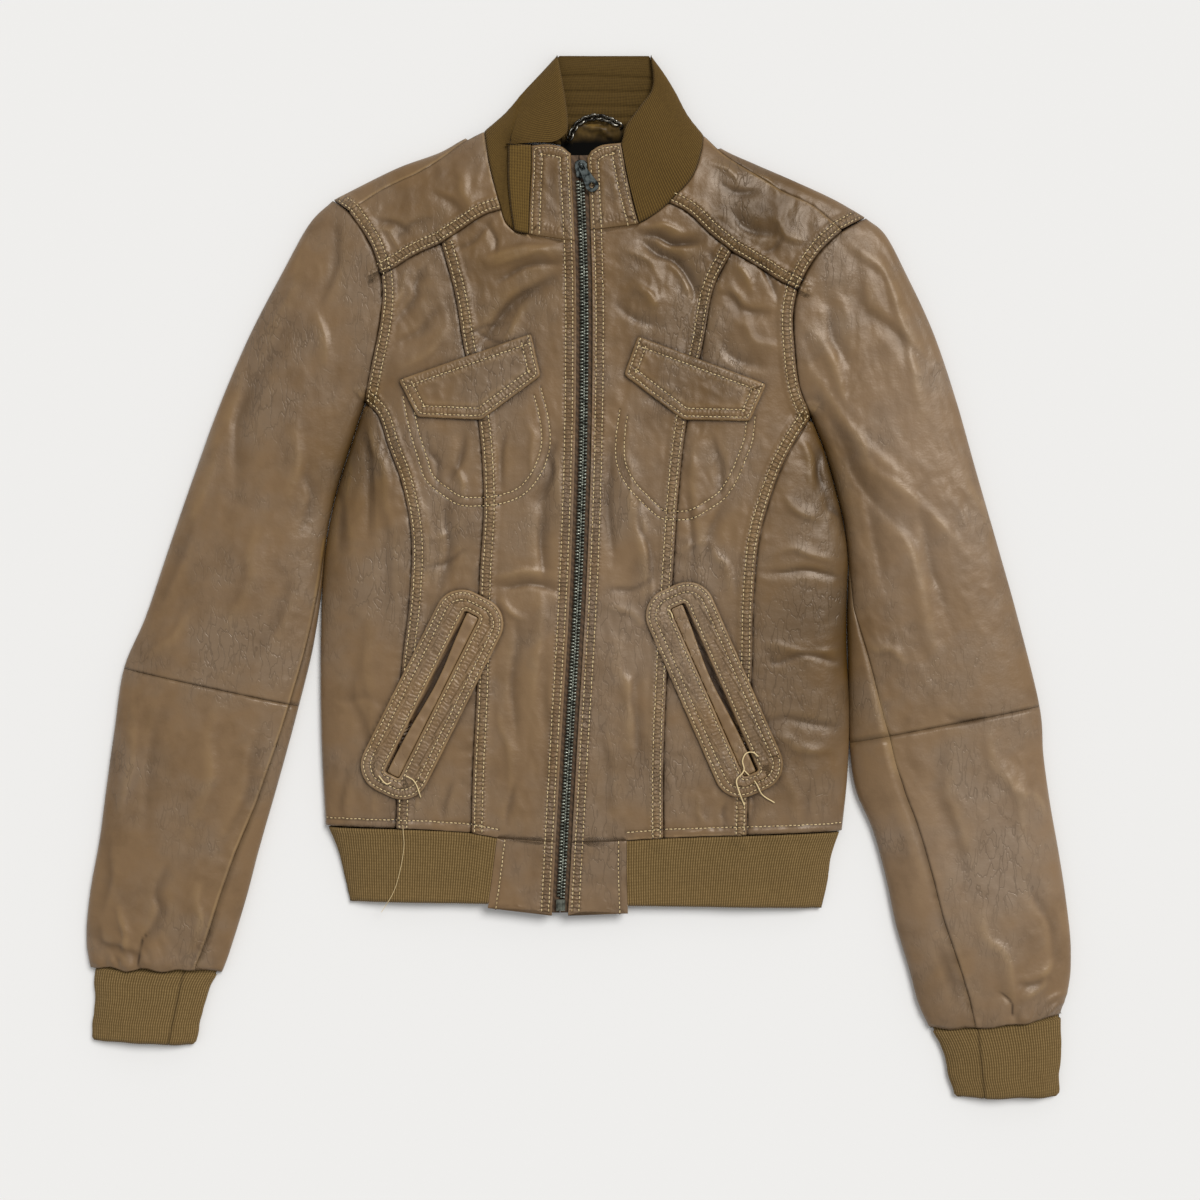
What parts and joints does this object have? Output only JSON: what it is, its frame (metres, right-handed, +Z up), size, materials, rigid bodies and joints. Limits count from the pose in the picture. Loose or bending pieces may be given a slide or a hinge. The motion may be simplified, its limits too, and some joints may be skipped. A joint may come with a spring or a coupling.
{
  "type": "worn leather jacket",
  "caption": "Short zipped leather jacket with rib-knit collar, cuffs and hem, flap pockets and slanted hip pockets, laid flat face up.",
  "frame": {"origin": "middle of the garment's box, on the surface that it lies on", "axes": "+X to the right of someone looking down on the front, +Y from the hem to the collar, +Z up from the surface"},
  "size_m": [0.7264, 0.7688, 0.0221],
  "materials": {
    "leather": "semi-gloss waxed brown lambskin",
    "rib_knit": "fine 1x1 wool rib",
    "lining": "satin",
    "zip_tape": "woven tape",
    "aged_brass": "dark antique nickel plate over brass, worn bright on its edges",
    "dark_metal": "blackened chain",
    "thread": "twisted tan thread"
  },
  "bodies": {
    "jacket": {"back_panel": "leather", "back_yoke": "leather", "front_yoke_left": "leather", "centre_front_left": "leather", "mid_front_left": "leather", "side_front_left": "leather", "shoulder_left": "leather", "pocket_flap_left": "leather", "pocket_frame_left": "leather", "pocket_lip_left": "leather", "collar_tab_left": "leather", "hem_tab_left": "leather", "sleeve_upper_top_left": "leather", "sleeve_upper_under_left": "leather", "sleeve_lower_top_left": "leather", "sleeve_lower_under_left": "leather", "cuff_left": "rib_knit", "collar_side_left": "rib_knit", "zip_tape_left": "zip_tape", "front_yoke_right": "leather", "centre_front_right": "leather", "mid_front_right": "leather", "side_front_right": "leather", "shoulder_right": "leather", "pocket_flap_right": "leather", "pocket_frame_right": "leather", "pocket_lip_right": "leather", "collar_tab_right": "leather", "hem_tab_right": "leather", "sleeve_upper_top_right": "leather", "sleeve_upper_under_right": "leather", "sleeve_lower_top_right": "leather", "sleeve_lower_under_right": "leather", "cuff_right": "rib_knit", "collar_side_right": "rib_knit", "zip_tape_right": "zip_tape", "hem_rib": "rib_knit", "collar_back": "rib_knit", "collar_strip_left": "rib_knit", "neck_lining": "lining", "hanger_chain": "dark_metal", "zip_chain": "aged_brass", "zip_slider": "aged_brass", "zip_end_box": "aged_brass"},
    "pull": {"zip_pull": "aged_brass"}
  },
  "joints": [
    {"name": "zip_pull_hinge", "type": "hinge", "parent": "jacket", "child": "pull", "pos_m": [0.00185, 0.3001, 0.0193], "axis": [-0.8711, -0.4911, 0], "range_deg": [0, 150]}
  ]
}
